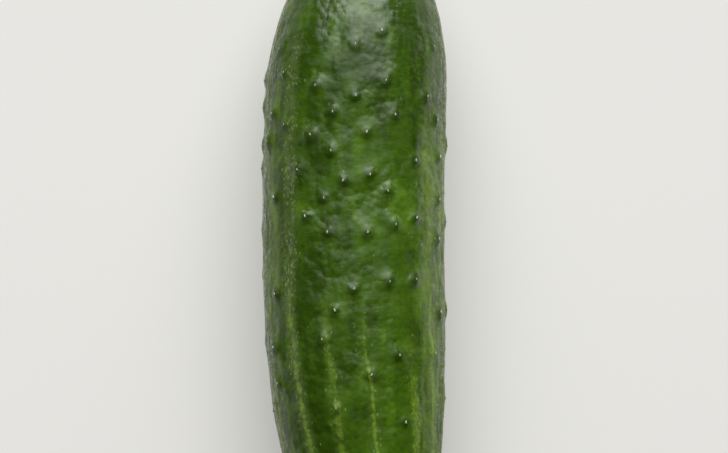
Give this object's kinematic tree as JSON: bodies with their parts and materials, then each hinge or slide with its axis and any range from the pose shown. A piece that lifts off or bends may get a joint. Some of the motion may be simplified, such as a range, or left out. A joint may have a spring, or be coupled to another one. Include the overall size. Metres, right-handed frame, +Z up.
{
  "type": "cucumber",
  "caption": "Short warty salad cucumber lying on its belly, with shallow ribs, small spined warts in rows, a flower scar and a cut stub of its stem.",
  "frame": {"origin": "bottom centre of the bounding box, on the surface that the cucumber lies on", "axes": "+Y along the fruit towards its stem end, +Z up, +X to the right when seen from above with the stem end at the top"},
  "size_m": [0.045, 0.1652, 0.0436],
  "materials": {
    "green_skin": "dark green waxy skin, satin, with fine paler flecks and stripes",
    "cut_stalk": "pale green fibrous stalk, matt, dry and browner on its cut"
  },
  "bodies": {
    "root": {"fruit": "green_skin", "stem_stub": "cut_stalk"}
  },
  "joints": []
}
